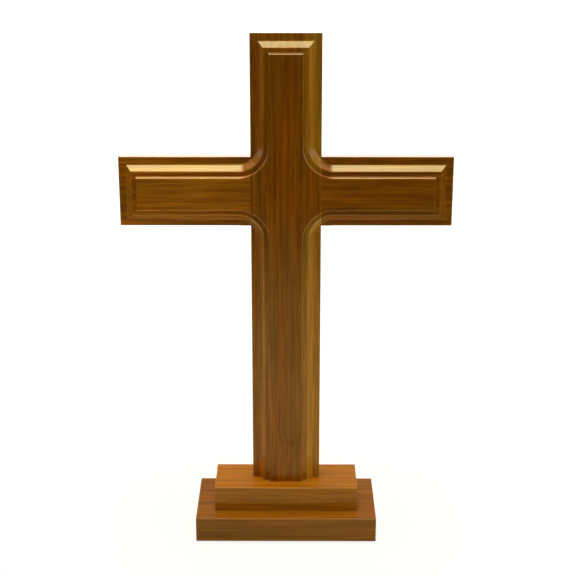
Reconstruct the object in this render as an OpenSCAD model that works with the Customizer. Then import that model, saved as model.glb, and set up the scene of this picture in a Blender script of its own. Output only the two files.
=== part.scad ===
// Standing cross for an altar or a hall table: two moulded boards halved into each other,
// fixed on a base of two steps. The front faces -Y and +Z is up. The origin is on the
// surface that the cross stands on, under the middle of the base.

/* [Cross] */
// Width of the upright's face and of the crossbar's face
face_w = 50.8; // [50:0.1:60]
// Thickness of every board, cross and base alike
stock_t = 19; // [18.8:0.1:22]
// Height of the upright above the top of the base
upright_h = 340; // [300:1:400]
// Length of the crossbar from arm end to arm end
span = 240; // [200:1:280]

/* [Moulding] */
// Width of the moulding, from the board's edge to its raised field
mould_w = 13; // [12.6:0.1:14]
// Depth of the moulding's outer shoulder below the field
mould_d = 9; // [8.8:0.1:9.2]
// Width of the flat shoulder along the board's edge
shoulder_w = 4; // [3.6:0.1:4.2]
// Radius of the hollow that rises from the shoulder
cove_r = 2.6; // [2:0.1:2.8]
// Steepness of the slope above the hollow, against the face of the board
slope_a = 56; // [52:1:64]
// Radius of the round at the slope's upper edge
round_r = 0.9; // [0.6:0.1:1.1]
// Height of the raised field above the moulding's inner flat
riser_h = 3.1; // [2.8:0.1:3.4]
// Radius that the cutter's guide bearing leaves in the inner corners
guide_r = 9; // [8:0.5:12]

/* [Base] */
// Width of the upper step
upper_w = 108; // [100:1:120]
// Depth of the upper step, front to back
upper_d = 41; // [38:1:50]
// Width of the lower step
lower_w = 136; // [130:1:160]
// Depth of the lower step, front to back
lower_d = 68; // [64:1:90]

/* [Fixings] */
// Diameter of the two dowels in the upright's foot
dowel_d = 6; // [5:0.5:6]
// Distance of each dowel from the middle of the upright
dowel_x = 13; // [12:0.5:14]
// Diameter of the screw that draws the upright down on the base
post_screw_d = 5; // [4:0.5:5]
// Length of that screw under its head
post_screw_l = 62; // [56:1:70]
// Outside diameter of its washer
washer_d = 15; // [12:1:16]
// Diameter of the four screws that join the two steps
step_screw_d = 4; // [3.5:0.5:4]
// Length of the step screws, head included
step_screw_l = 30; // [26:1:32]
// Diameter of the felt pads under the corners
pad_d = 12; // [10:1:14]
// Thickness of the felt pads
pad_t = 1.2; // [1:0.1:2]

/* [Hidden] */
$fn = 64;

half_w = face_w / 2;
half_span = span / 2;
lap = stock_t / 2;                  // each board keeps half its thickness at the crossing
arm_mid = upright_h * 2 / 3;        // the arms' centre line, two thirds of the way up
arm_low = arm_mid - half_w;
arm_high = arm_mid + half_w;
joint_z = pad_t + stock_t;          // between the two steps
base_top = pad_t + 2 * stock_t;     // where the upright stands
arc_drop = (cove_r + round_r) * (1 - cos(slope_a));
slope_run = (mould_d - riser_h - arc_drop) / tan(slope_a);
flat_start = shoulder_w + (cove_r + round_r) * sin(slope_a) + slope_run;   // top of the moulding's S
over = 1;                           // how far a cutter runs past the wood
gap = 0.1;                          // clearance of a fixing in its hole, on the diameter
spare = 1;                          // how much deeper than its fixing a blind hole goes

dowel_in_step = 12;
dowel_in_upright = 16;
dowel_chamfer = 0.8;
bore_d = washer_d + 3;              // recess for the post screw's head and washer
bore_h = 6;
washer_t = 1.2;
screw_point = 0.5;                  // diameter of a screw's blunt point
pan_h = 3;                          // height of the post screw's pan head
step_screw_x = 40;
step_screw_y = 12;
csk_sunk = 0.5;                     // how far the step screws' heads lie below the wood
pad_x = lower_w / 2 - 10;
pad_y = lower_d / 2 - 10;

upright_wood = [0.43, 0.26, 0.10];
crossbar_wood = [0.44, 0.27, 0.09];
upper_wood = [0.60, 0.39, 0.13];
lower_wood = [0.50, 0.31, 0.12];
dowel_wood = [0.80, 0.66, 0.45];
steel = [0.72, 0.72, 0.74];
felt = [0.26, 0.19, 0.14];

// ---- the moulding ----

function arc_points(centre, r, from, to, steps) =
    [for (i = [0:steps]) let (turn = from + (to - from) * i / steps)
        centre + r * [cos(turn), sin(turn)]];

// Section of the wood that the cutter takes away. Its origin is the board's front edge,
// +X runs into the board and -Y down from the field.
module waste_section() {
    hollow = [shoulder_w, cove_r - mould_d];
    bead = [flat_start, -riser_h - round_r];
    polygon([[-over, over], [-over, -mould_d],
        each arc_points(hollow, cove_r, -90, slope_a - 90, 5),
        each arc_points(bead, round_r, slope_a + 90, 90, 3),
        [mould_w, -riser_h], [mould_w, over]]);
}

// A straight pass of the cutter, which keeps the wood on its left
module straight_pass(start, heading, length) {
    translate([start.x, start.y, stock_t])
        rotate([0, 0, heading])
            rotate([90, 0, 90])
                linear_extrude(length) waste_section();
}

// A quarter turn of the cutter about its own axis, which stands in an inner corner
module corner_pass(axis, heading) {
    translate([axis.x, axis.y, stock_t])
        rotate([0, 0, heading])
            rotate_extrude(angle = 90)
                translate([guide_r, 0]) waste_section();
}

// Passes along the right-hand edges. They run past the outer corners, where they mitre.
module side_passes() {
    turn_x = half_w + guide_r;
    turn_low = arm_low - guide_r;
    turn_high = arm_high + guide_r;
    straight_pass([half_w, -over], 90, turn_low + over);
    corner_pass([turn_x, turn_low], 90);
    straight_pass([turn_x, arm_low], 0, half_span - turn_x + over);
    straight_pass([half_span, arm_low - over], 90, face_w + 2 * over);
    straight_pass([half_span + over, arm_high], 180, half_span - turn_x + over);
    corner_pass([turn_x, turn_high], 180);
    straight_pass([half_w, turn_high], 90, upright_h - turn_high + over);
}

module all_passes() {
    side_passes();
    mirror([1, 0, 0]) side_passes();
    straight_pass([half_w + over, upright_h], 180, face_w + 2 * over);
}

// Boards are drawn lying on their backs with the foot at Y = 0, and are then stood up
module stood_up() {
    translate([0, stock_t / 2, base_top]) rotate([90, 0, 0]) children();
}

// ---- holes ----

module hole(x, y, z, d, h) {
    translate([x, y, z]) cylinder(d = d, h = h);
}

module at_step_screws() {
    for (x = [-1, 1], y = [-1, 1])
        translate([x * step_screw_x, y * step_screw_y, pad_t + csk_sunk]) children();
}

// Cross-shaped driver recess, cut upwards from Z = 0
module driver_recess(size, depth) {
    for (turn = [0, 90])
        rotate([0, 0, turn])
            translate([-size / 2, -size / 10, -over]) cube([size, size / 5, depth + over]);
}

// ---- wood ----

module upright() {
    color(upright_wood)
    difference() {
        stood_up() difference() {
            translate([-half_w, 0, 0]) cube([face_w, upright_h, stock_t]);
            translate([-half_w - over, arm_low, -over]) cube([face_w + 2 * over, face_w, lap + over]);
            all_passes();
        }
        for (side = [-1, 1])
            hole(side * dowel_x, 0, base_top - over, dowel_d + gap, dowel_in_upright + spare + over);
        hole(0, 0, base_top - over, post_screw_d + gap, post_reach + spare + over);
    }
}

module crossbar() {
    color(crossbar_wood)
    stood_up() difference() {
        translate([-half_span, arm_low, 0]) cube([span, face_w, stock_t]);
        translate([-half_w, arm_low - over, lap]) cube([face_w, face_w + 2 * over, lap + over]);
        all_passes();
    }
}

module upper_step() {
    color(upper_wood)
    difference() {
        translate([-upper_w / 2, -upper_d / 2, joint_z]) cube([upper_w, upper_d, stock_t]);
        hole(0, 0, joint_z - over, post_screw_d + 5 * gap, stock_t + 2 * over);
        for (side = [-1, 1])
            hole(side * dowel_x, 0, base_top - dowel_in_step - spare, dowel_d + gap,
                dowel_in_step + spare + over);
        at_step_screws() cylinder(d = step_screw_d + gap, h = step_screw_l + spare);
    }
}

module lower_step() {
    color(lower_wood)
    difference() {
        translate([-lower_w / 2, -lower_d / 2, pad_t]) cube([lower_w, lower_d, stock_t]);
        hole(0, 0, pad_t - over, post_screw_d + 5 * gap, stock_t + 2 * over);
        hole(0, 0, pad_t - over, bore_d, bore_h + over);
        at_step_screws() {
            translate([0, 0, -csk_sunk - over]) cylinder(d = 2 * step_screw_d, h = csk_sunk + over);
            cylinder(d1 = 2 * step_screw_d, d2 = step_screw_d + gap, h = (step_screw_d - gap) / 2);
            cylinder(d = step_screw_d + gap, h = stock_t + over);
        }
    }
}

// ---- fixings ----

seat_z = pad_t + bore_h - washer_t;             // underside of the washer
post_reach = seat_z + post_screw_l - base_top;  // length of screw inside the upright

// Straight dowel with chamfered ends
module foot_dowel(side) {
    color(dowel_wood)
    translate([side * dowel_x, 0, base_top - dowel_in_step])
        rotate_extrude()
            polygon([[0, 0], [dowel_d / 2 - dowel_chamfer, 0], [dowel_d / 2, dowel_chamfer],
                [dowel_d / 2, dowel_in_step + dowel_in_upright - dowel_chamfer],
                [dowel_d / 2 - dowel_chamfer, dowel_in_step + dowel_in_upright],
                [0, dowel_in_step + dowel_in_upright]]);
}

// Pan-head screw, driven upwards with its head in the recess of the lower step
module post_screw() {
    tip = 1.6 * post_screw_d;
    color(steel)
    difference() {
        union() {
            translate([0, 0, seat_z - pan_h]) cylinder(d1 = 1.6 * post_screw_d, d2 = 2 * post_screw_d, h = pan_h / 3);
            translate([0, 0, seat_z - pan_h * 2 / 3]) cylinder(d = 2 * post_screw_d, h = pan_h * 2 / 3);
            translate([0, 0, seat_z - pan_h / 3]) cylinder(d = post_screw_d, h = post_screw_l - tip + pan_h / 3);
            translate([0, 0, seat_z + post_screw_l - tip]) cylinder(d1 = post_screw_d, d2 = screw_point, h = tip);
        }
        translate([0, 0, seat_z - pan_h]) driver_recess(post_screw_d, pan_h / 2);
    }
}

module post_washer() {
    color(steel)
    difference() {
        hole(0, 0, seat_z, washer_d, washer_t);
        hole(0, 0, seat_z - over, post_screw_d + 5 * gap, washer_t + 2 * over);
    }
}

// Countersunk screws through the lower step into the upper one
module step_screws() {
    tip = 1.6 * step_screw_d;
    color(steel)
    at_step_screws() difference() {
        union() {
            cylinder(d1 = 2 * step_screw_d - gap, d2 = step_screw_d, h = (step_screw_d - gap) / 2);
            cylinder(d = step_screw_d, h = step_screw_l - tip);
            translate([0, 0, step_screw_l - tip]) cylinder(d1 = step_screw_d, d2 = screw_point, h = tip);
        }
        driver_recess(step_screw_d, step_screw_d / 3);
    }
}

module felt_pad(x, y) {
    color(felt) translate([x * pad_x, y * pad_y, 0]) cylinder(d = pad_d, h = pad_t);
}

upright();
crossbar();
upper_step();
lower_step();
foot_dowel(-1);  // foot_dowel_left
foot_dowel(1);  // foot_dowel_right
post_screw();
post_washer();
step_screws();
felt_pad(-1, -1);  // felt_pad_front_left
felt_pad(1, -1);  // felt_pad_front_right
felt_pad(-1, 1);  // felt_pad_rear_left
felt_pad(1, 1);  // felt_pad_rear_right
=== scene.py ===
import math

import bmesh
import bpy
from mathutils import Matrix, Vector


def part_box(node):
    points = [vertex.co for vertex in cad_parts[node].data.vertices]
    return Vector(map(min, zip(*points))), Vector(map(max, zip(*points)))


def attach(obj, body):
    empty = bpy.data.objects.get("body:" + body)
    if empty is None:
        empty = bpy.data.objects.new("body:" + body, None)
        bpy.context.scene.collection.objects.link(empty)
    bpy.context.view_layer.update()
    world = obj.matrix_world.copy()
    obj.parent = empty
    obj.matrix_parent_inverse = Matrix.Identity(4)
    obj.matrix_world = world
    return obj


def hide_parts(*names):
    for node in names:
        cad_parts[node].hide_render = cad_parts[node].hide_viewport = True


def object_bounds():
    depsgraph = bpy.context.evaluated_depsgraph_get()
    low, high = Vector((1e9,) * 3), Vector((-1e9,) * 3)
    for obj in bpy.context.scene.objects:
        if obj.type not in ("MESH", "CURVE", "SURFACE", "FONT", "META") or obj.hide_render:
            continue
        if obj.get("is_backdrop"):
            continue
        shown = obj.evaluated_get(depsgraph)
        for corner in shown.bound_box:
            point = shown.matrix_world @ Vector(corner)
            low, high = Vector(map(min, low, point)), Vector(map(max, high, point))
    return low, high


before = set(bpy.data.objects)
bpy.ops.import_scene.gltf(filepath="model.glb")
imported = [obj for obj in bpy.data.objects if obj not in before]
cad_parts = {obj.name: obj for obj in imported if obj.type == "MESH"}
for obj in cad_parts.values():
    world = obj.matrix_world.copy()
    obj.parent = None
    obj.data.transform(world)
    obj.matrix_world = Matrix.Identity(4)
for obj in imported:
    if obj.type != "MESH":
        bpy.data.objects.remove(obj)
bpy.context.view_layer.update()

mm = 0.001
print("frame loaded:", len(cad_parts), "nodes")

camera = {
    "place": (4.75 * mm, -951.5 * mm, 514.7 * mm),
    "pitch": 18.71,          # degrees below the horizon
    "yaw": -0.20,            # degrees to the right of straight ahead
    "lens": 85.206,          # mm, on a sensor this wide
    "sensor": 36.0,
    "clip": (0.05, 30),
}


def makeCamera():
    pitch = math.radians(camera["pitch"])
    yaw = math.radians(camera["yaw"])
    forward = Vector((math.sin(yaw) * math.cos(pitch), math.cos(yaw) * math.cos(pitch), -math.sin(pitch)))
    right = Vector((math.cos(yaw), -math.sin(yaw), 0))
    up = right.cross(forward)
    data = bpy.data.cameras.new("Camera")
    data.sensor_width = camera["sensor"]
    data.lens = camera["lens"]
    data.clip_start, data.clip_end = camera["clip"]
    made = bpy.data.objects.new("Camera", data)
    bpy.context.scene.collection.objects.link(made)
    turn = Matrix((right, up, -forward)).transposed().to_4x4()
    made.matrix_world = Matrix.Translation(camera["place"]) @ turn
    bpy.context.scene.camera = made


makeCamera()
print("camera set")


def setInputs(tree, node, inputs):
    # each input is linked where it is given a socket, and set where it is given a value
    for key, value in inputs.items():
        if isinstance(value, bpy.types.NodeSocket):
            tree.links.new(value, node.inputs[key])
        else:
            node.inputs[key].default_value = value


def addNode(tree, kind, inputs=None, **settings):
    made = tree.nodes.new(kind)
    for name, value in settings.items():
        setattr(made, name, value)
    setInputs(tree, made, inputs or {})
    return made


def mathNode(tree, operation, first, *others):
    # of one value, or of several taken in turn
    if not others:
        return addNode(tree, "ShaderNodeMath", {0: first}, operation=operation).outputs[0]
    for other in others:
        first = addNode(tree, "ShaderNodeMath", {0: first, 1: other}, operation=operation).outputs[0]
    return first


def vectorNode(tree, operation, *values):
    return addNode(tree, "ShaderNodeVectorMath", dict(enumerate(values)), operation=operation).outputs[0]


def scaledNode(tree, vector, factor):
    return addNode(tree, "ShaderNodeVectorMath", {0: vector, "Scale": factor}, operation="SCALE").outputs[0]


def splitNode(tree, vector):
    return addNode(tree, "ShaderNodeSeparateXYZ", {0: vector}).outputs


def joinNode(tree, **parts):
    values = {"xyz".index(axis): value for axis, value in parts.items()}
    return addNode(tree, "ShaderNodeCombineXYZ", values).outputs[0]


def rangeNode(tree, value, low, high, first=0.0, last=1.0):
    inputs = {0: value, 1: low, 2: high, 3: first, 4: last}
    return addNode(tree, "ShaderNodeMapRange", inputs, clamp=True).outputs[0]


def noiseNode(tree, place, scale, detail, rough=0.5, twist=0.0):
    inputs = {"Vector": place, "Scale": scale, "Detail": detail, "Roughness": rough, "Distortion": twist}
    return addNode(tree, "ShaderNodeTexNoise", inputs).outputs["Fac"]


def maskNode(tree, attribute):
    return addNode(tree, "ShaderNodeAttribute", attribute_name=attribute).outputs["Fac"]


def rampNode(tree, factor, stops):
    made = addNode(tree, "ShaderNodeValToRGB", {"Fac": factor})
    ramp = made.color_ramp
    while len(ramp.elements) < len(stops):
        ramp.elements.new(0.5)
    for element, (place, shade) in zip(ramp.elements, stops):
        element.position = place
        element.color = (*shade, 1)
    return made.outputs["Color"]


def mixColour(tree, factor, first, second, blend="MIX"):
    inputs = {0: factor, 6: first, 7: second}
    return addNode(tree, "ShaderNodeMix", inputs, data_type="RGBA", blend_type=blend).outputs[2]


def newTree(name, inputs, outputs, kind="ShaderNodeTree"):
    # inputs are (label, socket, starting value or None) and outputs (label, socket)
    tree = bpy.data.node_groups.new(name, kind)
    for label, socket, value in inputs:
        made = tree.interface.new_socket(label, in_out="INPUT", socket_type="NodeSocket" + socket)
        if value is not None:
            made.default_value = value
    for label, socket in outputs:
        tree.interface.new_socket(label, in_out="OUTPUT", socket_type="NodeSocket" + socket)
    return tree, tree.nodes.new("NodeGroupInput").outputs, tree.nodes.new("NodeGroupOutput").inputs


def newMaterial(name):
    made = bpy.data.materials.new(name)
    made.use_nodes = True
    made.node_tree.nodes.clear()
    shader = made.node_tree.nodes.new("ShaderNodeBsdfPrincipled")
    output = made.node_tree.nodes.new("ShaderNodeOutputMaterial")
    made.node_tree.links.new(shader.outputs[0], output.inputs[0])
    return made, made.node_tree, shader


def bumpNode(tree, look, height):
    inputs = {"Strength": look["bump"], "Distance": look["relief"], "Height": height}
    return addNode(tree, "ShaderNodeBump", inputs).outputs[0]


solidWood = {
    # for each noise: how fine across and along the grain, detail, roughness, offset, the span that is kept
    "drift": (60, 5, 2.0, 0.55, 0.0, (0.0, 1.0)),
    "streaks": (420, 15, 4.0, 0.62, 3.1, (0.33, 0.67)),
    "fibres": (1300, 30, 3.0, 0.60, 7.7, (0.30, 0.70)),
    "pores": (2600, 130, 2.0, 0.50, 11.3, (0.60, 0.70)),
    "poreRows": (500, 12, 2.0, 0.50, 5.9, (0.35, 0.60)),
    "patches": (120, 9, 3.0, 0.55, 1.7, (0.28, 0.72)),
    "driftTurns": 5.0,           # how many rings the drift spans where Wander is 1
    "lateWood": 2.4,             # how late in the year a ring darkens
    "ringFall": (1.0, 0.9),      # it falls back to pale between these parts of the year
    "fibreHeight": 0.35,         # beside a pore's depth of 1
    "knotFan": (2.8, 5.5),       # in knot sizes: reach of the bent grain, to the side and along
    "knotSpot": (1.2, 1.0),      # and of the dark spot
    "knotBelow": (3.5, -3.0),    # the bend grows from the first of these heights to the second
}


def makeWoodGroup():
    # Solid wood. Grain Place is in metres, with Z along the grain, X across the face and Y into the board.
    tree, given, result = newTree(
        "solidWood",
        [("Grain Place", "Vector", None), ("Pith", "Vector", None), ("Lean", "Vector", None),
         ("Ring Width", "Float", 0.003), ("Wander", "Float", 1.0), ("Knot", "Vector", None),
         ("Knot Size", "Float", 0.004), ("Knot Pull", "Float", 0.0), ("Seed", "Float", 0.0)],
        [(label, "Float") for label in ("Rings", "Streaks", "Fibres", "Pores", "Patches", "Knot", "Height")])

    # the grain gathers at a small knot and fans out below it
    apart = splitNode(tree, vectorNode(tree, "SUBTRACT", given["Grain Place"], given["Knot"]))

    def bell(wide, long):
        # 1 at the knot, fading over so many knot sizes to the side and along the grain
        across = mathNode(tree, "DIVIDE", apart[0], mathNode(tree, "MULTIPLY", given["Knot Size"], wide))
        along = mathNode(tree, "DIVIDE", apart[2], mathNode(tree, "MULTIPLY", given["Knot Size"], long))
        square = mathNode(tree, "ADD", mathNode(tree, "MULTIPLY", across, across),
                          mathNode(tree, "MULTIPLY", along, along))
        return mathNode(tree, "EXPONENT", mathNode(tree, "MULTIPLY", square, -1.0))

    below = rangeNode(tree, mathNode(tree, "DIVIDE", apart[2], given["Knot Size"]), *solidWood["knotBelow"])
    pull = mathNode(tree, "MULTIPLY", bell(*solidWood["knotFan"]), below, given["Knot Pull"])
    present = rangeNode(tree, given["Knot Pull"], 0.0, 1.0)
    knot = mathNode(tree, "MULTIPLY", bell(*solidWood["knotSpot"]), present)
    shift = joinNode(tree, x=mathNode(tree, "MULTIPLY", apart[0], pull))
    bent = vectorNode(tree, "ADD", given["Grain Place"], shift)

    def noise(name):
        across, along, detail, rough, offset, span = solidWood[name]
        scaled = vectorNode(tree, "MULTIPLY", bent, (across, across, along))
        moved = vectorNode(tree, "ADD", scaled, joinNode(tree, x=given["Seed"], y=given["Seed"], z=offset))
        return rangeNode(tree, noiseNode(tree, moved, 1.0, detail, rough), *span)

    # growth rings round a leaning pith
    spot, pith, lean = (splitNode(tree, vector) for vector in (bent, given["Pith"], given["Lean"]))
    sides = []
    for axis in (0, 1):
        centre = mathNode(tree, "ADD", pith[axis], mathNode(tree, "MULTIPLY", lean[axis], spot[2]))
        side = mathNode(tree, "SUBTRACT", spot[axis], centre)
        sides.append(mathNode(tree, "MULTIPLY", side, side))
    radius = mathNode(tree, "SQRT", mathNode(tree, "ADD", *sides))
    drift = mathNode(tree, "MULTIPLY", mathNode(tree, "SUBTRACT", noise("drift"), 0.5),
                     mathNode(tree, "MULTIPLY", given["Wander"], solidWood["driftTurns"]))
    turns = mathNode(tree, "ADD", mathNode(tree, "DIVIDE", radius, given["Ring Width"]), drift)
    year = mathNode(tree, "FRACT", turns)
    rings = mathNode(tree, "MULTIPLY", mathNode(tree, "POWER", year, solidWood["lateWood"]),
                     rangeNode(tree, year, *solidWood["ringFall"]))

    fibres = noise("fibres")
    pores = mathNode(tree, "MULTIPLY", noise("pores"), noise("poreRows"))
    height = mathNode(tree, "SUBTRACT", mathNode(tree, "MULTIPLY", fibres, solidWood["fibreHeight"]), pores)
    outputs = {"Rings": rings, "Streaks": noise("streaks"), "Fibres": fibres, "Pores": pores,
               "Patches": noise("patches"), "Knot": knot, "Height": height}
    for label, value in outputs.items():
        tree.links.new(value, result[label])
    return tree


def makeEdgeGroup():
    # painted highlight on arrises, tinted paler, and painted shade in quirks, tinted dark; both masks are
    # attributes
    tree, given, result = newTree(
        "edgeTone",
        [("Colour", "Color", None), ("Arris Tint", "Color", None), ("Arris Share", "Float", 0.3),
         ("Quirk Shade Tint", "Color", None), ("Quirk Shade Share", "Float", 0.5), ("Unevenness", "Float", 90.0)],
        [("Colour", "Color")])
    place = addNode(tree, "ShaderNodeTexCoord").outputs["Object"]
    uneven = noiseNode(tree, place, given["Unevenness"], 3.0)
    # painted highlight: arrises tinted paler, unevenly
    arris = mathNode(tree, "MULTIPLY", maskNode(tree, "arris"), given["Arris Share"], uneven)
    # painted shade: quirks tinted dark
    quirkShade = mathNode(tree, "MULTIPLY", maskNode(tree, "quirkShade"), given["Quirk Shade Share"])
    edgeHighlight = mixColour(tree, arris, given["Colour"], given["Arris Tint"])
    tree.links.new(mixColour(tree, quirkShade, edgeHighlight, given["Quirk Shade Tint"]), result["Colour"])
    return tree


woodGroup = makeWoodGroup()
edgeGroup = makeEdgeGroup()


def varnishedWood(name, look):
    made, tree, shader = newMaterial(name)
    coordinates = addNode(tree, "ShaderNodeTexCoord").outputs
    spot = splitNode(tree, coordinates["Object"])
    along = "XYZ".index(look["grain"])
    place = joinNode(tree, x=spot[2 - along], y=spot[1], z=spot[along])      # the grain runs along X or Z
    wood = addNode(tree, "ShaderNodeGroup", {"Grain Place": place}, node_tree=woodGroup)
    setInputs(tree, wood, look["growth"])
    wood = wood.outputs
    tone = mathNode(tree, "ADD", *[mathNode(tree, "MULTIPLY", wood[label], share)
                                   for label, share in look["tone"].items()])
    colour = rampNode(tree, tone, look["ramp"])

    # the moulding is painted paler, as painted light on its slopes, and paler bands across X follow
    cut = maskNode(tree, "cut")
    if look["litCutRamp"]:
        colour = mixColour(tree, cut, colour, rampNode(tree, tone, look["litCutRamp"]))
    for low, high, atLow, atHigh, onlyCut, ramp in look["paleBands"]:
        wave = mathNode(tree, "MULTIPLY", mathNode(tree, "SUBTRACT", wood["Streaks"], 0.5), look["paleBandWave"])
        share = rangeNode(tree, mathNode(tree, "ADD", spot[0], wave), low, high, atLow, atHigh)
        if onlyCut:
            share = mathNode(tree, "MULTIPLY", share, cut)
        colour = mixColour(tree, share, colour, rampNode(tree, tone, ramp))
    colour = mixColour(tree, 1.0, colour, rampNode(tree, wood["Patches"], look["hues"]), "MULTIPLY")
    dark = mathNode(tree, "MAXIMUM", wood["Pores"], wood["Knot"])
    dark = mathNode(tree, "MULTIPLY", dark, look["poreShare"])
    colour = mixColour(tree, dark, colour, (*look["poreColour"], 1))

    # the ends of the board drink more finish
    normal = splitNode(tree, coordinates["Normal"])
    ends = rangeNode(tree, mathNode(tree, "ABSOLUTE", normal[along]), *look["endSpan"])
    ends = mathNode(tree, "MULTIPLY", ends, look["endShare"])
    colour = mixColour(tree, ends, colour, (*look["endTint"], 1), "MULTIPLY")

    edges = addNode(tree, "ShaderNodeGroup", {
        "Colour": colour, "Arris Tint": (*look["arrisTint"], 1), "Arris Share": look["arrisShare"],
        "Quirk Shade Tint": (*look["quirkShadeTint"], 1), "Quirk Shade Share": look["quirkShadeShare"]}, node_tree=edgeGroup)
    setInputs(tree, shader, {
        "Base Color": edges.outputs["Colour"],
        "Roughness": rangeNode(tree, wood["Streaks"], 0.0, 1.0, *look["roughness"]),
        "Normal": bumpNode(tree, look, wood["Height"]),
        "Specular IOR Level": look["underGloss"],
        "Coat Weight": look["varnish"],
        "Coat Roughness": look["varnishRoughness"],
        "Coat IOR": look["varnishIndex"],
    })
    return made


# ramps run from pale wood to dark; the first two are for the moulding, paler than the board as painted light
# on its slopes, and the second is yellower as well
litMouldingRamp = [(0.18, (0.61, 0.235, 0.018)), (0.48, (0.43, 0.153, 0.0105)), (0.82, (0.255, 0.076, 0.0045))]
rightMouldingRamp = [(0.18, (0.65, 0.325, 0.036)), (0.48, (0.50, 0.225, 0.021)), (0.82, (0.34, 0.137, 0.0105))]
paleRamp = [(0.18, (0.71, 0.270, 0.022)), (0.48, (0.51, 0.184, 0.0135)), (0.82, (0.32, 0.096, 0.0060))]
woodBasics = {
    "tone": {"Streaks": 0.46, "Rings": 0.14, "Fibres": 0.24, "Patches": 0.16},
    "ramp": [(0.18, (0.48, 0.165, 0.010)), (0.48, (0.325, 0.108, 0.0060)), (0.82, (0.185, 0.049, 0.0026))],
    "hues": [(0.0, (1.05, 0.90, 0.80)), (1.0, (0.96, 1.11, 1.22))],
    # ramp for the moulding, paler than the board: painted light on its slopes
    "litCutRamp": None,
    "paleBands": [],               # (from x, to x, share at each, only on the moulding, ramp)
    "paleBandWave": 1.5 * mm,         # how far the streaks push its edge about
    "poreShare": 0.5, "poreColour": (0.12, 0.030, 0.003),
    "endShare": 0.55, "endTint": (0.55, 0.45, 0.35), "endSpan": (0.75, 0.95),
    # the paler arris tint is a painted highlight
    "arrisTint": (0.62, 0.28, 0.06), "arrisShare": 0.5,
    # the dark quirk tint is painted shade
    "quirkShadeTint": (0.10, 0.030, 0.004), "quirkShadeShare": 0.55,
    "roughness": (0.34, 0.46), "bump": 0.35, "relief": 0.06 * mm, "underGloss": 0.0,
    "varnish": 1.0, "varnishRoughness": 0.14, "varnishIndex": 1.5,
}
uprightWood = {
    **woodBasics, "grain": "Z",
    "growth": {"Pith": (-0.085, 0.030, 0.0), "Lean": (0.004, 0.006, 0.0), "Ring Width": 0.0041, "Wander": 0.6,
               "Knot": (0.0040, -0.0095, 0.0720), "Knot Size": 0.0025, "Knot Pull": 1.3, "Seed": 2.0},
    # on the right-hand moulding a yellower ramp takes over, as pale as the moulding's painted-light ramp
    "litCutRamp": litMouldingRamp, "paleBands": [(0.0105, 0.0140, 0.0, 1.0, True, rightMouldingRamp)],
    "endSpan": (0.68, 0.84), "endShare": 0.95,
}
crossbarWood = {
    **woodBasics, "grain": "X",
    "growth": {"Pith": (0.175, 0.030, 0.0), "Lean": (0.005, -0.004, 0.0), "Ring Width": 0.0037,
               "Wander": 0.6, "Seed": 17.0},
    # paler towards the left end of the crossbar
    "paleBands": [(-0.06, 0.03, 1.0, 0.0, False, paleRamp)],
}
upperWood = {
    **woodBasics, "grain": "X",
    "growth": {"Pith": (-0.045, 0.034, 0.0), "Lean": (0.02, 0.03, 0.0), "Ring Width": 0.0034,
               "Wander": 0.7, "Seed": 31.0},
    "ramp": [(0.15, (0.60, 0.225, 0.013)), (0.5, (0.465, 0.163, 0.0085)), (0.85, (0.33, 0.103, 0.0045))],
}
lowerWood = {
    **woodBasics, "grain": "X",
    "growth": {"Pith": (-0.060, 0.040, 0.0), "Lean": (0.02, 0.03, 0.0), "Ring Width": 0.0038,
               "Wander": 0.7, "Seed": 47.0},
    "ramp": [(0.15, (0.40, 0.150, 0.012)), (0.5, (0.295, 0.102, 0.0075)), (0.85, (0.185, 0.058, 0.0040))],
}
dowelBeech = {
    **woodBasics, "grain": "Z",
    "growth": {"Pith": (0.03, 0.05, 0.0), "Ring Width": 0.0016, "Seed": 63.0},
    "ramp": [(0.15, (0.72, 0.50, 0.29)), (0.5, (0.60, 0.39, 0.20)), (0.9, (0.46, 0.27, 0.13))],
    "poreColour": (0.30, 0.16, 0.07), "roughness": (0.55, 0.7), "bump": 0.6, "underGloss": 0.3,
    "varnish": 0.0, "arrisShare": 0.0, "quirkShadeShare": 0.0,
}
steelLook = {
    "bright": (0.66, 0.65, 0.62), "dull": (0.42, 0.41, 0.38), "spread": (0.3, 0.65),
    "cloudScale": 420.0, "fineScale": 2600.0,
    "roughness": (0.22, 0.42), "bump": 0.3, "relief": 0.03 * mm,
}
feltLook = {
    "light": (0.105, 0.066, 0.042), "dark": (0.045, 0.027, 0.017), "spread": (0.35, 0.65),
    "fluffScale": 3200.0, "cloudScale": 500.0, "fluffShare": 0.7,
    "roughness": 0.95, "bump": 0.9, "relief": 0.2 * mm, "sheen": 0.4, "gloss": 0.1,
}


def platedSteel(name, look):
    made, tree, shader = newMaterial(name)
    place = addNode(tree, "ShaderNodeTexCoord").outputs["Object"]
    cloud = noiseNode(tree, place, look["cloudScale"], 4.0)
    fine = noiseNode(tree, place, look["fineScale"], 3.0)
    dull, bright = look["spread"]
    setInputs(tree, shader, {
        "Base Color": rampNode(tree, cloud, [(dull, look["dull"]), (bright, look["bright"])]),
        "Roughness": rangeNode(tree, fine, 0.0, 1.0, *look["roughness"]),
        "Normal": bumpNode(tree, look, fine),
        "Metallic": 1.0,
    })
    return made


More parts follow.
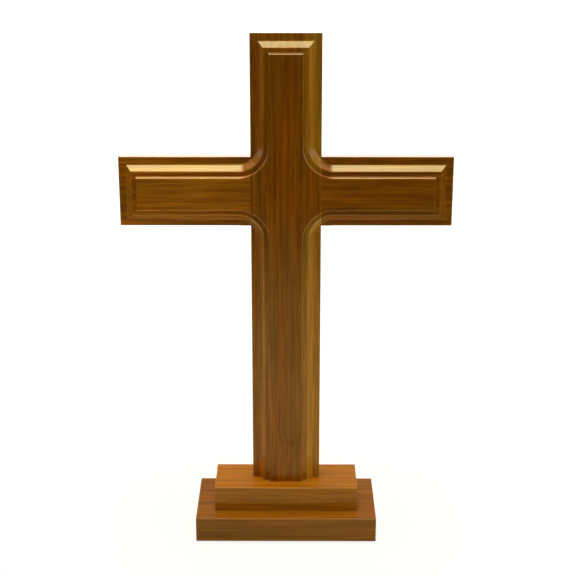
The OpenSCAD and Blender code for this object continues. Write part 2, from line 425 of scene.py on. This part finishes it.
def pressedFelt(name, look):
    made, tree, shader = newMaterial(name)
    place = addNode(tree, "ShaderNodeTexCoord").outputs["Object"]
    fluff = noiseNode(tree, place, look["fluffScale"], 5.0, rough=0.7, twist=1.5)
    cloud = noiseNode(tree, place, look["cloudScale"], 3.0)
    mixed = mathNode(tree, "ADD", mathNode(tree, "MULTIPLY", fluff, look["fluffShare"]),
                     mathNode(tree, "MULTIPLY", cloud, 1 - look["fluffShare"]))
    dark, light = look["spread"]
    setInputs(tree, shader, {
        "Base Color": rampNode(tree, mixed, [(dark, look["dark"]), (light, look["light"])]),
        "Roughness": look["roughness"],
        "Normal": bumpNode(tree, look, fluff),
        "Sheen Weight": look["sheen"],
        "Specular IOR Level": look["gloss"],
    })
    return made


materials = {
    "dowel": varnishedWood("DowelBeech", dowelBeech),
    "steel": platedSteel("PlatedSteel", steelLook),
    "felt": pressedFelt("PressedFelt", feltLook),
    "upright": varnishedWood("UprightWood", uprightWood),
    "crossbar": varnishedWood("CrossbarWood", crossbarWood),
    "upperStep": varnishedWood("UpperStepWood", upperWood),
    "lowerStep": varnishedWood("LowerStepWood", lowerWood),
}
print("materials made:", len(materials))


def newPiece(name, mesh, material):
    made = bpy.data.objects.new(name, mesh)
    bpy.context.scene.collection.objects.link(made)
    mesh.materials.clear()
    mesh.materials.append(material)
    return made


def fixed(piece, node):
    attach(piece, "root")
    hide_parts(node)


def finishMesh(mesh, angle=35):
    mesh.shade_smooth()
    mesh.set_sharp_from_angle(angle=math.radians(angle))


def toMesh(build, name):
    bmesh.ops.recalc_face_normals(build, faces=build.faces)
    mesh = bpy.data.meshes.new(name)
    build.to_mesh(mesh)
    build.free()
    return mesh


def ringOf(build, reaches, height, middle=(0, 0)):
    # corners evenly round a vertical axis, one for each reach
    ring = []
    for i, reach in enumerate(reaches):
        angle = 2 * math.pi * i / len(reaches)
        spot = (middle[0] + reach * math.cos(angle), middle[1] + reach * math.sin(angle), height)
        ring.append(build.verts.new(spot))
    return ring


def joinRings(build, rings, closed=True):
    count = len(rings[0])
    for lower, upper in zip(rings, rings[1:]):
        for i in range(count if closed else count - 1):
            j = (i + 1) % count
            build.faces.new((lower[i], lower[j], upper[j], upper[i]))


def closeRings(build, rings):
    # skins a stack of rings and closes both ends
    joinRings(build, rings)
    build.faces.new(list(reversed(rings[0])))
    build.faces.new(rings[-1])


def boxMesh(name, low, high):
    build = bmesh.new()
    bmesh.ops.create_cube(build, size=1)
    bmesh.ops.scale(build, vec=Vector(high) - Vector(low), verts=build.verts)
    bmesh.ops.translate(build, vec=(Vector(high) + Vector(low)) / 2, verts=build.verts)
    return toMesh(build, name)


def turnedMesh(name, outline, middle=(0, 0), sides=48):
    # a solid of revolution about a vertical axis, from (radius, height) points that start and end on the axis
    build = bmesh.new()
    rows = []
    for radius, height in outline:
        count = sides if radius > 0 else 1
        rows.append(ringOf(build, [radius] * count, height, middle))
    for i in range(sides):
        j = (i + 1) % sides
        build.faces.new((rows[0][0], rows[1][j], rows[1][i]))
        build.faces.new((rows[-2][i], rows[-2][j], rows[-1][0]))
    joinRings(build, rows[1:-1])
    return toMesh(build, name)


def easedCorner(edge, height, ease, side=1):
    # three points round an outline's lower corner, from its flat end to its side
    middle = 0.3 * ease          # leaves the middle point on an arc, near enough
    return [(edge - side * ease, height), (edge - side * middle, height + middle), (edge, height + ease)]


def mirrored(outline, low, high):
    # the outline's lower half, and then the same upside down
    return outline + [(r, low + high - z) for r, z in reversed(outline)]


def applied(piece):
    # the piece's modifiers, turned into its own mesh
    graph = bpy.context.evaluated_depsgraph_get()
    mesh = bpy.data.meshes.new_from_object(piece.evaluated_get(graph), depsgraph=graph)
    piece.modifiers.clear()
    piece.data = mesh
    return piece


def carve(piece, cutterMeshes):
    cutters = []
    for mesh in cutterMeshes:
        cutter = bpy.data.objects.new("cutter", mesh)
        bpy.context.scene.collection.objects.link(cutter)
        modifier = piece.modifiers.new("cut", "BOOLEAN")
        modifier.operation = "DIFFERENCE"
        modifier.solver = "EXACT"
        modifier.object = cutter
        cutters.append(cutter)
    applied(piece)
    for cutter in cutters:
        bpy.data.objects.remove(cutter)
    return piece


def arc(middle, radius, start, end, count):
    # points on a circle, from one angle to the other, in degrees
    angles = [math.radians(start + (end - start) * i / count) for i in range(count + 1)]
    return [(middle[0] + radius * math.cos(a), middle[1] + radius * math.sin(a)) for a in angles]


moulding = {
    "width": 13 * mm,
    "depth": 9 * mm,
    "shoulder": 4 * mm,
    "cove": 2.6 * mm,
    "slope": 56,             # degrees between the slope and the board's face
    "round": 0.9 * mm,
    "riser": 3.1 * mm,
    "guide": 9 * mm,         # radius that the cutter's bearing leaves in the inner corners
    "fieldEase": 0.3 * mm,
    "facet": 0.85 * mm,      # narrow sanded facet along the edge of the field, and its lean from the face
    "facetLean": 54,
    "edgeEase": 0.42 * mm,
    "quirk": 0.15 * mm,
    "support": 0.3 * mm,     # narrow flats beside each arris, which keep the wide faces flat
    "fieldHighlight": 0.2,        # how much painted highlight the edge of the field and the small round get, beside 1 at an arris
    "roundHighlight": 0.5,
    "turnSteps": 16,
    "slip": 0.001 * mm,      # each line of the section stands this much clear of the last in the joint
    "weld": 0.0002 * mm,     # corners closer than this are one
}

uprightLow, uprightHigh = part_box("upright")
crossbarLow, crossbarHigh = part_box("crossbar")
footZ = uprightLow.z
halfWidth = uprightHigh.x
halfSpan = crossbarHigh.x
armLow = crossbarLow.z
armHigh = crossbarHigh.z
topZ = uprightHigh.z
frontY = uprightLow.y
thickness = uprightHigh.y - uprightLow.y
lap = thickness / 2


def boardSection():
    # rows of: distance in from the board's edge, depth behind the field, masks for painted highlight on
    # arrises, painted shade in quirks and the moulding's cut, and whether the line follows the moulding's
    # inner corners
    m = moulding
    width, depth, riser, quirk, support = m["width"], m["depth"], m["riser"], m["quirk"], m["support"]
    fieldEase, edgeEase, cove, crown = m["fieldEase"], m["edgeEase"], m["cove"], m["round"]
    fieldHighlight, roundHighlight = m["fieldHighlight"], m["roundHighlight"]
    tilt = math.radians(m["slope"])
    bend = (cove + crown) * (1 - math.cos(tilt))
    flat = m["shoulder"] + (cove + crown) * math.sin(tilt) + (depth - riser - bend) / math.tan(tilt)
    facetRun = m["facet"] * math.cos(math.radians(m["facetLean"]))
    facetDrop = m["facet"] * math.sin(math.radians(m["facetLean"]))
    facetEnd = 270 - m["facetLean"]
    high = arc((width + fieldEase + facetRun, fieldEase), fieldEase, 270, facetEnd, 3)
    low = arc((width + fieldEase, fieldEase + facetDrop), fieldEase, facetEnd, 180, 2)
    rows = [(width + fieldEase + facetRun + support, 0, 0, 0)]
    rows += [(u, d, fieldHighlight, 0) for u, d in high]
    fieldRows = len(rows)
    rows += [(u, d, fieldHighlight, 0) for u, d in low]
    rows += [(width, riser * 0.6, 0, 0), (width, riser - 2 * quirk, 0, 0)]
    # the quirk at the foot of the riser gets the painted shade
    rows += [(width, riser - quirk, 0, 1), (width - quirk, riser, 0, 1)]
    rows += [(width - quirk - support, riser, 0, 0), (flat + support, riser, 0, 0)]
    rows += [(u, d, roundHighlight, 0) for u, d in arc((flat, riser + crown), crown, 270, 270 - m["slope"], 6)]
    rows += [(u, d, 0, 0) for u, d in arc((m["shoulder"], depth - cove), cove, 90 - m["slope"], 90, 8)]
    rows += [(m["shoulder"] - support, depth, 0, 0), (edgeEase + support, depth, 0, 0)]
    rows += [(u, d, 1, 0) for u, d in arc((edgeEase, depth + edgeEase), edgeEase, 270, 180, 4)]
    front = [(*row, float(number >= fieldRows), True) for number, row in enumerate(rows)]
    edge = [(0, depth + edgeEase + support, 0, 0), (0, thickness - edgeEase - support, 0, 0)]
    back = [(u, d, 1, 0) for u, d in arc((edgeEase, thickness - edgeEase), edgeEase, 180, 90, 4)]
    back += [(edgeEase + support, thickness, 0, 0)]
    return front + [(*row, 1.0, False) for row in edge] + [(*row, 0.0, False) for row in back]


def uprightPath(inset, moulded, slip):
    # up the right side, across the top and down the left side
    guide, turnSteps = moulding["guide"], moulding["turnSteps"]
    reach = guide + inset
    last = math.acos(guide / reach)
    turn = []
    for i in range(turnSteps + 1):
        if moulded:
            angle = last * i / turnSteps
            turn.append((halfWidth + guide - reach * math.cos(angle), reach * math.sin(angle)))
        else:
            turn.append((halfWidth - inset, guide * i / (turnSteps + 1)))
    if moulded and inset > slip:
        turn[-1] = (halfWidth - slip, turn[-1][1])
    right = [(halfWidth - inset, footZ)]
    right += [(x, armLow - guide + rise) for x, rise in turn]
    right += [(x, armHigh + guide - rise) for x, rise in reversed(turn)]
    right.append((halfWidth - inset, topZ - inset))
    return right + [(-x, z) for x, z in reversed(right)]


def crossbarPath(inset, moulded, slip):
    # round both arms; the stretch between them is cut away in front by the halving
    guide, turnSteps = moulding["guide"], moulding["turnSteps"]
    reach = guide + inset
    rise = math.sqrt(reach * reach - guide * guide)
    if moulded:
        first = max(math.acos(guide / reach), math.asin(guide / reach))
        corner = max(armLow, armLow - guide + rise)
        angles = [first + (math.pi / 2 - first) * i / turnSteps for i in range(turnSteps + 1)]
        turn = [(halfWidth + guide - reach * math.cos(a), armLow - guide + reach * math.sin(a))
                for a in angles]
        if corner == armLow and inset > slip:
            corner -= slip
            turn[0] = (turn[0][0], corner)
    else:
        corner = armLow + inset
        turn = [(halfWidth + guide * i / turnSteps, corner) for i in range(turnSteps + 1)]
    low = [(halfWidth, corner), *turn, (halfSpan - inset, armLow + inset)]
    right = low + [(x, armLow + armHigh - z) for x, z in reversed(low)]
    return right + [(-x, z) for x, z in reversed(right)]


def sweptBoard(name, path, closed, material):
    # the section carried along the path; the masks go with it as attributes
    build = bmesh.new()
    layers = [build.verts.layers.float.new(mask) for mask in ("arris", "quirkShade", "cut")]
    rings = []
    for number, (inset, depth, *masks, moulded) in enumerate(boardSection()):
        ring = []
        for x, z in path(inset, moulded, number * moulding["slip"]):
            vertex = build.verts.new((x, frontY + depth, z))
            for layer, mask in zip(layers, masks):
                vertex[layer] = mask
            ring.append(vertex)
        rings.append(ring)
    joinRings(build, rings, closed)
    build.faces.new(rings[0])
    build.faces.new(rings[-1])
    if not closed:
        build.faces.new([ring[0] for ring in rings] + [ring[-1] for ring in reversed(rings)])
    bmesh.ops.remove_doubles(build, verts=build.verts, dist=moulding["weld"])
    return newPiece(name, toMesh(build, name), material)


def rodMesh(x, y, low, high, diameter):
    return turnedMesh("rod", [(0, low), (diameter / 2, low), (diameter / 2, high), (0, high)], (x, y))


fixings = {
    "gap": 0.1 * mm,             # clearance of a fixing in its hole, on the diameter
    "looseGap": 0.5 * mm,
    "spare": 1 * mm,             # how much deeper than its fixing a blind hole goes
    "recess": 18 * mm,           # recess in the underside for the middle screw's head and washer
    "past": 1 * mm,              # how far a cutter runs past the wood
    "postWidth": 5 * mm,         # the screws, across the thread
    "stepWidth": 4 * mm,
}
dowelNodes = {"FootDowelLeft": "foot_dowel_left", "FootDowelRight": "foot_dowel_right"}
gap = fixings["gap"]
spare = fixings["spare"]
past = fixings["past"]
postWidth = fixings["postWidth"]
stepWidth = fixings["stepWidth"]
looseReach = (postWidth + fixings["looseGap"]) / 2
postLow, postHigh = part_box("post_screw")
washerLow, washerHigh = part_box("post_washer")
stepLow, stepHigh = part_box("step_screws")
headReach = stepWidth - gap / 2
stepSpotX = stepHigh.x - headReach
stepSpotY = stepHigh.y - headReach


def dowelHoles():
    holes = []
    for node in dowelNodes.values():
        low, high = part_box(node)
        middle = (low + high) / 2
        holes.append(rodMesh(middle.x, middle.y, low.z - spare, high.z + spare, high.x - low.x + gap))
    return holes


def stepScrewHoles():
    top = stepHigh.z + spare
    shank = (stepWidth + gap) / 2
    shankFrom = stepLow.z + (stepWidth - gap) / 2
    mouth = stepWidth            # a countersink is twice as wide as its screw
    outline = [(0, -past), (mouth, -past), (mouth, stepLow.z), (shank, shankFrom), (shank, top), (0, top)]
    spots = [(x, y) for x in (-stepSpotX, stepSpotX) for y in (-stepSpotY, stepSpotY)]
    return [turnedMesh("hole", outline, spot) for spot in spots]


halving = boxMesh("halving", (-halfWidth - past, frontY + lap, armLow),
                  (halfWidth + past, frontY + thickness + past, armHigh))
notch = boxMesh("notch", (-halfWidth, frontY - past, armLow - past),
                (halfWidth, frontY + lap, armHigh + past))
postHole = rodMesh(0, 0, footZ - past, postHigh.z + spare, postWidth + gap)
upright = sweptBoard("Upright", uprightPath, False, materials["upright"])
carve(upright, [halving, postHole, *dowelHoles()])
crossbar = sweptBoard("Crossbar", crossbarPath, True, materials["crossbar"])
carve(crossbar, [notch])
for piece, node in ((upright, "upright"), (crossbar, "crossbar")):
    finishMesh(piece.data)
    fixed(piece, node)
print("cross boards made:", [len(piece.data.vertices) for piece in (upright, crossbar)])

steps = {
    "ease": 0.5 * mm,
    "easeSteps": 3,
    "edgeHighlightWithin": 0.9,           # in eases: how near two faces a corner is where the painted highlight goes
}


def easedBoard(name, node, material):
    low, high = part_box(node)
    piece = newPiece(name, boxMesh(name, low, high), material)
    bevel = piece.modifiers.new("ease", "BEVEL")
    bevel.width = steps["ease"]
    bevel.segments = steps["easeSteps"]
    bevel.affect = "EDGES"
    bevel.limit_method = "NONE"
    applied(piece)
    # the eased edges are marked, so that a painted highlight can be put there
    edgeHighlight = piece.data.attributes.new("arris", "FLOAT", "POINT")
    for i, vertex in enumerate(piece.data.vertices):
        inside = [min(vertex.co[axis] - low[axis], high[axis] - vertex.co[axis]) for axis in range(3)]
        edgeHighlight.data[i].value = float(sorted(inside)[1] < steps["ease"] * steps["edgeHighlightWithin"])
    return piece


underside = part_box("lower_step")[0].z
recessReach = fixings["recess"] / 2
upperHole = rodMesh(0, 0, underside - past, footZ + past, 2 * looseReach)
lowerHole = turnedMesh("hole", [(0, -past), (recessReach, -past), (recessReach, washerHigh.z),
                                (looseReach, washerHigh.z), (looseReach, footZ + past), (0, footZ + past)])
stepCuts = {
    "UpperStep": ("upper_step", materials["upperStep"], [upperHole, *dowelHoles(), *stepScrewHoles()]),
    "LowerStep": ("lower_step", materials["lowerStep"], [lowerHole, *stepScrewHoles()]),
}
for name, (node, material, cuts) in stepCuts.items():
    piece = carve(easedBoard(name, node, material), cuts)
    finishMesh(piece.data)
    flat = piece.modifiers.new("flat", "WEIGHTED_NORMAL")
    flat.keep_sharp = True
    fixed(piece, node)
print("steps made")

dowels = {
    "flutes": 16,
    "fluteSides": 8,             # faces to a flute
    "fluteDepth": 0.28 * mm,
    "chamfer": 0.8 * mm,
    "chamferShape": [(1.0, 0.0), (0.15, 0.85), (0.0, 1.3)],      # in chamfers, (in from the side, up)
}


def flutedDowel(name, node):
    low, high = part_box(node)
    radius = (high.x - low.x) / 2
    chamfer = dowels["chamfer"]
    sides = dowels["flutes"] * dowels["fluteSides"]
    grooves = [dowels["fluteDepth"] * max(0, math.cos(dowels["flutes"] * 2 * math.pi * i / sides)) ** 2
               for i in range(sides)]
    outline = [(radius - chamfer * across, low.z + chamfer * up) for across, up in dowels["chamferShape"]]
    build = bmesh.new()
    rings = []
    for r, z in mirrored(outline, low.z, high.z):
        rings.append(ringOf(build, [min(r, radius - groove) for groove in grooves], z, (low + high) / 2))
    closeRings(build, rings)
    return toMesh(build, name)


for name, node in dowelNodes.items():
    piece = newPiece(name, flutedDowel(name, node), materials["dowel"])
    finishMesh(piece.data, 40)
    fixed(piece, node)
print("dowels made")

screws = {
    "sides": 24,
    "stepsPerTurn": 10,
    "pointWidth": 0.5 * mm,
    "taper": 1.6,                # length of the point, in screw widths
    "ridge": 0.26,               # height of the thread, in screw radii
    "ridgeHalf": 0.28,           # half its width, in pitches
    "bladeThin": 0.1,            # half the thickness of a recess's blade, in blade widths
    "bladePoint": 0.55,          # the blade's width at its tip, beside 1 at its mouth
    "bladeThinning": 0.4,        # how much of that narrowing its thickness follows
    # heads as (radius, height) in mm
    "post": {"head": [(3.4, 0.0), (4.3, 0.25), (4.85, 0.8), (5.0, 1.5), (5.0, 2.75), (4.9, 3.0), (2.5, 3.0)],
             "plain": 22 * mm, "pitch": 2.4 * mm, "width": postWidth,
             "recess": 5 * mm, "recessDepth": 1.5 * mm},
    "step": {"head": [(3.7, 0.0), (3.95, 0.12), (3.95, 0.3), (2.0, 1.95)],
             "plain": 9 * mm, "pitch": 1.8 * mm, "width": stepWidth,
             "recess": 4 * mm, "recessDepth": 1.33 * mm},
}


def screwBlade(kind, low, turn):
    # one arm of the cross recess, narrowing to its tip
    blade = bmesh.new()
    corners = []
    cos, sin = math.cos(turn), math.sin(turn)
    for height, share in ((low - past, 1.0), (low, 1.0), (low + kind["recessDepth"], screws["bladePoint"])):
        halfLong = kind["recess"] / 2 * share
        halfThick = kind["recess"] * screws["bladeThin"] * (1 - screws["bladeThinning"] * (1 - share))
        flat = [(halfLong, halfThick), (-halfLong, halfThick),
                (-halfLong, -halfThick), (halfLong, -halfThick)]
        corners.append([blade.verts.new((x * cos - y * sin, x * sin + y * cos, height)) for x, y in flat])
    closeRings(blade, corners)
    return toMesh(blade, "blade")


def screwMesh(name, kind, low, high):
    # Head down, point up, on the Z axis. The thread is a ridge that climbs one pitch a turn.
    build = bmesh.new()
    sides, radius, point = screws["sides"], kind["width"] / 2, screws["pointWidth"] / 2
    rings = [ringOf(build, [r * mm] * sides, low + z * mm) for r, z in kind["head"]]
    start = low + kind["plain"]
    count = math.ceil((high - low - kind["plain"]) / kind["pitch"] * screws["stepsPerTurn"])
    for step in range(-2, count + 1):        # two plain rings end the shank below the thread
        height = start + (high - start) * max(step, -1.5) / count
        taper = min(1.0, max(0.0, (high - height) / (screws["taper"] * kind["width"])))
        outer = point + (radius - point) * taper
        ridge = screws["ridge"] * radius * min(1.0, max(0.0, (height - start) / kind["pitch"])) * taper ** 0.5
        reaches = []
        for i in range(sides):
            turn = (height / kind["pitch"] - i / sides) % 1.0
            crest = max(0.0, 1 - abs(turn - 0.5) / screws["ridgeHalf"])
            reaches.append(outer - ridge * (1 - crest))
        rings.append(ringOf(build, reaches, height))
    closeRings(build, rings)
    screw = newPiece(name, toMesh(build, name), materials["steel"])
    return carve(screw, [screwBlade(kind, low, turn) for turn in (0, math.pi / 2)])


def screwPattern():
    # four screws on a grid of two by two
    tree, given, result = newTree(
        "screwPattern",
        [("Screw", "Object", None), ("Spacing X", "Float", None), ("Spacing Y", "Float", None),
         ("Material", "Material", None)],
        [("Geometry", "Geometry")], "GeometryNodeTree")
    grid = addNode(tree, "GeometryNodeMeshGrid", {"Size X": given["Spacing X"], "Size Y": given["Spacing Y"],
                                                  "Vertices X": 2, "Vertices Y": 2})
    screw = addNode(tree, "GeometryNodeObjectInfo", {"Object": given["Screw"]})
    spin = addNode(tree, "FunctionNodeRandomValue", {0: (0, 0, 0), 1: (0, 0, 1.5), "Seed": 4},
                   data_type="FLOAT_VECTOR")
    placed = addNode(tree, "GeometryNodeInstanceOnPoints", {
        "Points": grid.outputs["Mesh"], "Instance": screw.outputs["Geometry"],
        "Rotation": spin.outputs["Value"]})
    real = addNode(tree, "GeometryNodeRealizeInstances", {"Geometry": placed.outputs[0]})
    finish = addNode(tree, "GeometryNodeSetMaterial", {"Geometry": real.outputs[0],
                                                       "Material": given["Material"]})
    tree.links.new(finish.outputs[0], result[0])
    return tree


def withNodes(name, tree, values, startMesh=None):
    # runs a Geometry Nodes tree and keeps its result as a plain mesh
    piece = bpy.data.objects.new(name, startMesh or bpy.data.meshes.new(name))
    bpy.context.scene.collection.objects.link(piece)
    modifier = piece.modifiers.new("nodes", "NODES")
    modifier.node_group = tree
    for item in tree.interface.items_tree:
        if item.item_type == "SOCKET" and item.in_out == "INPUT" and item.name in values:
            modifier[item.identifier] = values[item.name]
    return applied(piece)


postScrew = screwMesh("PostScrew", screws["post"], postLow.z, postHigh.z)
oneScrew = screwMesh("oneScrew", screws["step"], stepLow.z, stepHigh.z)
stepScrews = withNodes("StepScrews", screwPattern(), {
    "Screw": oneScrew, "Material": materials["steel"],
    "Spacing X": 2 * stepSpotX, "Spacing Y": 2 * stepSpotY})
bpy.data.objects.remove(oneScrew)
for piece, node in ((postScrew, "post_screw"), (stepScrews, "step_screws")):
    finishMesh(piece.data, 40)
    fixed(piece, node)

washer = {"ease": 0.2 * mm, "sides": 64}


def washerMesh(name, low, high):
    ease, inner, outer = washer["ease"], looseReach, (high.x - low.x) / 2
    outline = easedCorner(inner, low.z, ease, -1)[::-1] + easedCorner(outer, low.z, ease)
    build = bmesh.new()
    rings = [ringOf(build, [r] * washer["sides"], z) for r, z in mirrored(outline, low.z, high.z)]
    joinRings(build, rings + rings[:1])
    return toMesh(build, name)


postWasher = newPiece("PostWasher", washerMesh("PostWasher", washerLow, washerHigh), materials["steel"])
finishMesh(postWasher.data, 40)
fixed(postWasher, "post_washer")
print("screws and washer made")

pads = {
    "ease": 0.25 * mm,
    "sides": 72,
    "fibres": 420,
    "fibreLength": 0.55 * mm,
    "fibreWidth": 0.05 * mm,
    "fibreProud": 0.4,           # share of a fibre's length that stands out of the edge
    "fibreLean": 0.8,
    "fibreRise": 0.12,
    "rootDepth": 0.1 * mm,
    "clear": (0.3 * mm, 0.15 * mm),      # no fibre starts this close to the lower and upper face
}
padNodes = {"PadFrontLeft": "felt_pad_front_left", "PadFrontRight": "felt_pad_front_right",
            "PadRearLeft": "felt_pad_rear_left", "PadRearRight": "felt_pad_rear_right"}


def feltFringe():
    # short loose fibres round the cut edge of a pad, between two heights
    tree, given, result = newTree(
        "feltFringe",
        [("Geometry", "Geometry", None), ("Fibres", "Int", None), ("Length", "Float", None),
         ("Width", "Float", None), ("Radius", "Float", None), ("Centre", "Vector", None),
         ("Low", "Float", None), ("High", "Float", None), ("Seed", "Int", None),
         ("Material", "Material", None)],
        [("Geometry", "Geometry")], "GeometryNodeTree")

    def randomFloat(low, high, shift):
        inputs = {2: low, 3: high, "Seed": mathNode(tree, "ADD", given["Seed"], shift)}
        return addNode(tree, "FunctionNodeRandomValue", inputs, data_type="FLOAT").outputs[1]

    angle = randomFloat(0.0, 2 * math.pi, 1)
    height = rangeNode(tree, randomFloat(0.0, 1.0, 2), 0.0, 1.0, given["Low"], given["High"])
    out = joinNode(tree, x=mathNode(tree, "COSINE", angle), y=mathNode(tree, "SINE", angle))
    spot = vectorNode(tree, "ADD", scaledNode(tree, out, given["Radius"]), joinNode(tree, z=height))
    points = addNode(tree, "GeometryNodePoints", {"Count": given["Fibres"],
                                                  "Position": vectorNode(tree, "ADD", spot, given["Centre"])})
    fibre = addNode(tree, "GeometryNodeMeshCone", {"Vertices": 3, "Radius Bottom": given["Width"],
                                                   "Radius Top": 0.0, "Depth": given["Length"]})
    side, rise = pads["fibreLean"], pads["fibreRise"]
    lean = joinNode(tree, x=randomFloat(-side, side, 3), y=randomFloat(-side, side, 4),
                    z=randomFloat(-rise, rise, 5))
    heading = vectorNode(tree, "ADD", out, lean)
    turned = addNode(tree, "FunctionNodeAlignRotationToVector", {"Vector": heading})
    placed = addNode(tree, "GeometryNodeInstanceOnPoints", {
        "Points": points.outputs[0], "Instance": fibre.outputs["Mesh"], "Rotation": turned.outputs[0]})
    real = addNode(tree, "GeometryNodeRealizeInstances", {"Geometry": placed.outputs[0]})
    both = addNode(tree, "GeometryNodeJoinGeometry", {0: real.outputs[0]})
    tree.links.new(given["Geometry"], both.inputs[0])
    finish = addNode(tree, "GeometryNodeSetMaterial", {"Geometry": both.outputs[0],
                                                       "Material": given["Material"]})
    tree.links.new(finish.outputs[0], result[0])
    return tree


fringe = feltFringe()
for number, (name, node) in enumerate(padNodes.items()):
    low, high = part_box(node)
    middle = (low + high) / 2
    radius = (high.x - low.x) / 2 - pads["fibreLength"] * pads["fibreProud"]
    outline = mirrored([(0, low.z), *easedCorner(radius, low.z, pads["ease"])], low.z, high.z)
    body = turnedMesh(name, outline, middle, pads["sides"])
    pad = withNodes(name, fringe, {
        "Fibres": pads["fibres"], "Length": pads["fibreLength"], "Width": pads["fibreWidth"],
        "Radius": radius - pads["rootDepth"], "Centre": (middle.x, middle.y, 0.0),
        "Low": low.z + pads["clear"][0], "High": high.z - pads["clear"][1],
        "Seed": 10 * number, "Material": materials["felt"]}, body)
    finishMesh(pad.data, 60)
    fixed(pad, node)
print("felt pads made")

studio = {
    "floor": 4.0,                        # half width, metres
    "tableShade": 0.60,                  # what the polished wood mirrors and is lit by: a round table top
    "tableTint": (1.0, 0.94, 0.68),
    "tableReach": (0.32, 0.92),          # it fades out between these distances
    "paperGlow": (0.84, 1.0),            # the floor as the camera sees it: white, its glow dimmed close by as a painted shadow, with faint real shadows too
    "paperGlowSpan": (0.12, 0.55),
    "paperShade": 0.20,
    # the sky's light: low and bright behind the cross, as (sine of the height, brightness), dim in front
    "back": [(0.28, 3.0), (0.36, 0.10), (0.50, 0.10), (0.66, 0.72), (1.00, 0.72)],
    "backBright": 3.0,
    "front": 0.03,
    "frontSpan": (-0.25, 0.25),          # front turns into back between these
    "backEnds": (0.25, 0.45),            # the low part dims between these places to each side, to this share
    "backEndShare": 0.25,
    "backEndsTop": (0.4, 0.5),           # and stops dimming between these heights
    # the lamp, as its light meets the cross: how far left and behind of straight up, inner and outer size
    "lampPlace": (-0.06, -0.040, 0.0),
    "lampSize": (0.17, 0.33),
    "lampBright": 11.5,
    "lampColour": (1.0, 0.90, 0.42),
    "panels": [
        # name, place, target, size, power, colour
        ("RightPanel", (1.00, -0.45, 0.65), (0.0, 0.0, 0.25), (0.5, 0.7), 3.5, (1.0, 0.98, 0.62)),
        ("LeftPanel", (-1.00, -0.30, 0.75), (0.0, 0.0, 0.30), (0.5, 0.5), 1.4, (1.0, 0.98, 0.75)),
    ],
}


def areaLight(name, place, target, size, power, colour):
    data = bpy.data.lights.new(name, "AREA")
    data.shape = "RECTANGLE"
    data.size, data.size_y = size
    data.energy = power
    data.color = colour
    made = bpy.data.objects.new(name, data)
    bpy.context.scene.collection.objects.link(made)
    made.location = place
    made.rotation_mode = "QUATERNION"
    made.rotation_quaternion = (Vector(target) - Vector(place)).to_track_quat("-Z", "Y")


def makeRoom():
    # plain white to look at; its light is bright low down behind the cross and dim on the camera's side
    world = bpy.data.worlds.new("Studio")
    world.use_nodes = True
    tree = world.node_tree
    tree.nodes.clear()
    x, y, z = splitNode(tree, addNode(tree, "ShaderNodeTexCoord").outputs["Generated"])
    bright = studio["backBright"]
    back = rampNode(tree, z, [(height, (level / bright,) * 3) for height, level in studio["back"]])
    behind = rangeNode(tree, y, *studio["frontSpan"], studio["front"] / bright, 1.0)
    aside = rangeNode(tree, mathNode(tree, "ABSOLUTE", x), *studio["backEnds"], 1.0, studio["backEndShare"])
    aside = mathNode(tree, "MAXIMUM", aside, rangeNode(tree, z, *studio["backEndsTop"]))
    backLight = scaledNode(tree, back, mathNode(tree, "MULTIPLY", behind, aside, bright))
    inputs = {0: joinNode(tree, x=x, y=y), 1: studio["lampPlace"]}
    away = addNode(tree, "ShaderNodeVectorMath", inputs, operation="DISTANCE").outputs["Value"]
    lamp = rangeNode(tree, away, *studio["lampSize"], studio["lampBright"], 0.0)
    lamp = mathNode(tree, "MULTIPLY", lamp, mathNode(tree, "GREATER_THAN", z, 0.0))
    lit = vectorNode(tree, "ADD", backLight, scaledNode(tree, studio["lampColour"], lamp))
    seen = addNode(tree, "ShaderNodeLightPath").outputs["Is Camera Ray"]
    shown = mixColour(tree, seen, lit, (1, 1, 1, 1))
    sky = addNode(tree, "ShaderNodeBackground", {"Color": shown, "Strength": 1.0})
    output = tree.nodes.new("ShaderNodeOutputWorld")
    tree.links.new(sky.outputs[0], output.inputs[0])
    bpy.context.scene.world = world


def floorPaper():
    # a table top to the wood that mirrors it, and white paper to the camera
    made, tree, shader = newMaterial("FloorPaper")
    place = addNode(tree, "ShaderNodeTexCoord").outputs["Object"]
    apart = addNode(tree, "ShaderNodeVectorMath", {0: place}, operation="LENGTH").outputs["Value"]
    shade = rangeNode(tree, apart, *studio["tableReach"], studio["tableShade"], 0.0)
    setInputs(tree, shader, {
        "Base Color": mixColour(tree, shade, (0, 0, 0, 1), (*studio["tableTint"], 1)),
        "Roughness": 1.0,
        "Specular IOR Level": 0.0,
    })
    white = addNode(tree, "ShaderNodeBsdfDiffuse", {"Color": (*(studio["paperShade"],) * 3, 1)})
    # the paper's glow dims close to the cross: painted shadow
    strength = rangeNode(tree, apart, *studio["paperGlowSpan"], *studio["paperGlow"])
    glow = addNode(tree, "ShaderNodeEmission", {"Color": (1, 1, 1, 1), "Strength": strength})
    paper = addNode(tree, "ShaderNodeAddShader", {0: white.outputs[0], 1: glow.outputs[0]})
    seen = addNode(tree, "ShaderNodeLightPath").outputs["Is Camera Ray"]
    both = addNode(tree, "ShaderNodeMixShader", {0: seen, 1: shader.outputs[0], 2: paper.outputs[0]})
    output = next(node for node in tree.nodes if node.type == "OUTPUT_MATERIAL")
    tree.links.new(both.outputs[0], output.inputs[0])
    return made


def makeStudio():
    half = studio["floor"]
    mesh = bpy.data.meshes.new("Floor")
    corners = [(-half, -half, 0), (half, -half, 0), (half, half, 0), (-half, half, 0)]
    mesh.from_pydata(corners, [], [(0, 1, 2, 3)])
    newPiece("Floor", mesh, floorPaper())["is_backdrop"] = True
    makeRoom()
    for panel in studio["panels"]:
        areaLight(*panel)
    bpy.context.scene.view_settings.view_transform = "Standard"


makeStudio()
print("studio set")

low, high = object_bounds()
